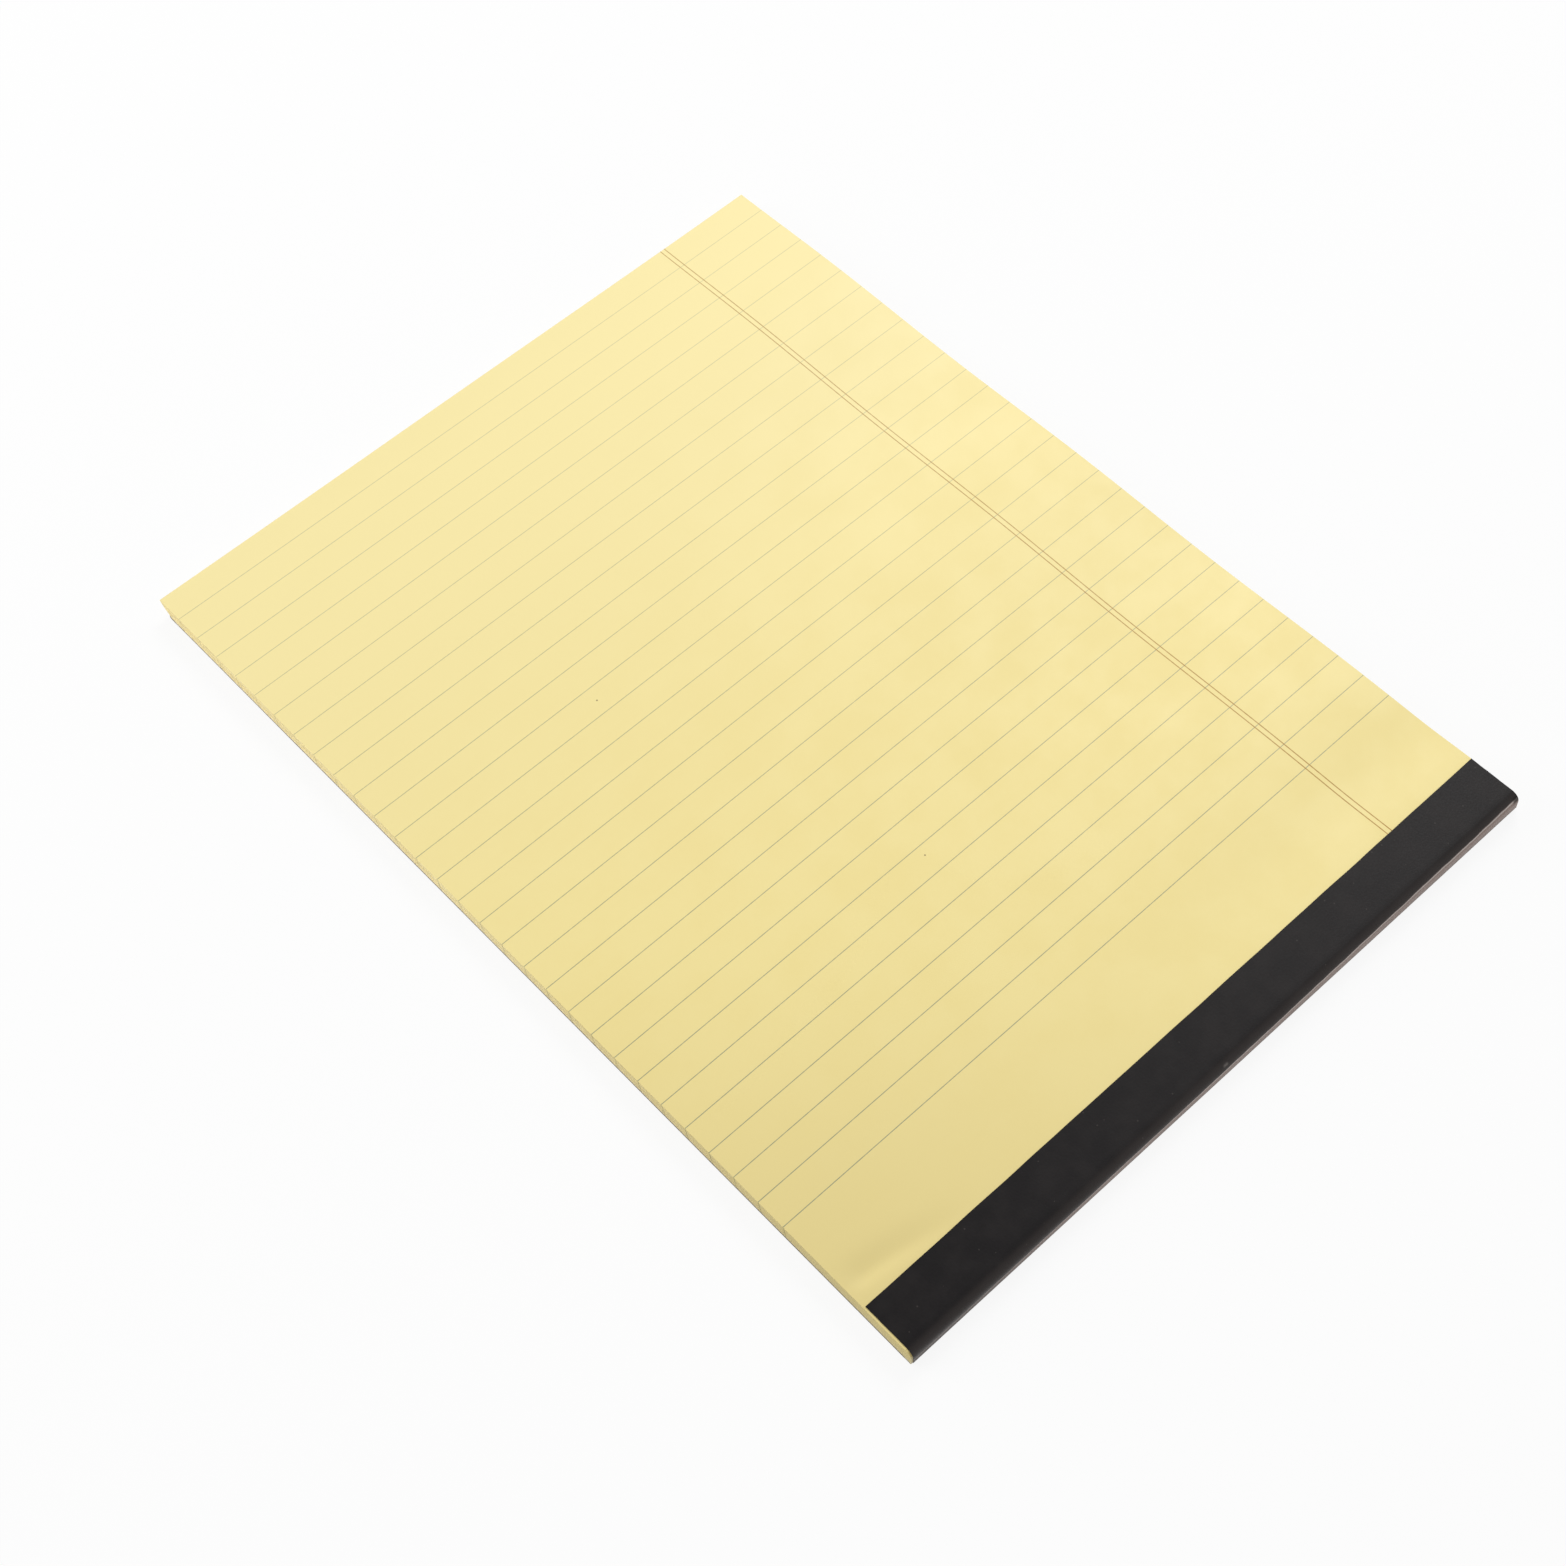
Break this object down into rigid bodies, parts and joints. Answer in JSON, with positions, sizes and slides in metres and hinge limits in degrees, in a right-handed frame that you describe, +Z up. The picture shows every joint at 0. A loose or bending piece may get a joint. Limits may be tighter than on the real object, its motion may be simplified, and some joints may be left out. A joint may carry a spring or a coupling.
{
  "type": "legal pad",
  "caption": "Ruled writing pad of yellow sheets on a card back, glued at the head and bound there with a wrapped black tape, for handwritten notes.",
  "frame": {"origin": "on the table, under the middle of the pad", "axes": "+X to the page's right side, +Y to the bound head, +Z up out of the top sheet"},
  "size_m": [0.214, 0.295, 0.0062],
  "materials": {
    "yellow_paper": "matt uncoated canary writing paper with blue-green rules and a red double margin rule",
    "grey_board": "raw grey chipboard with fine fibres and specks",
    "padding_compound": "dried flexible padding glue, milky and slightly glossy",
    "black_tape": "charcoal black binding paper tape, soft sheen, fine grain and flecks"
  },
  "bodies": {
    "root": {"backing_board": "grey_board", "ruled_sheets": "yellow_paper", "padding_glue": "padding_compound", "binding_tape": "black_tape"}
  },
  "joints": []
}
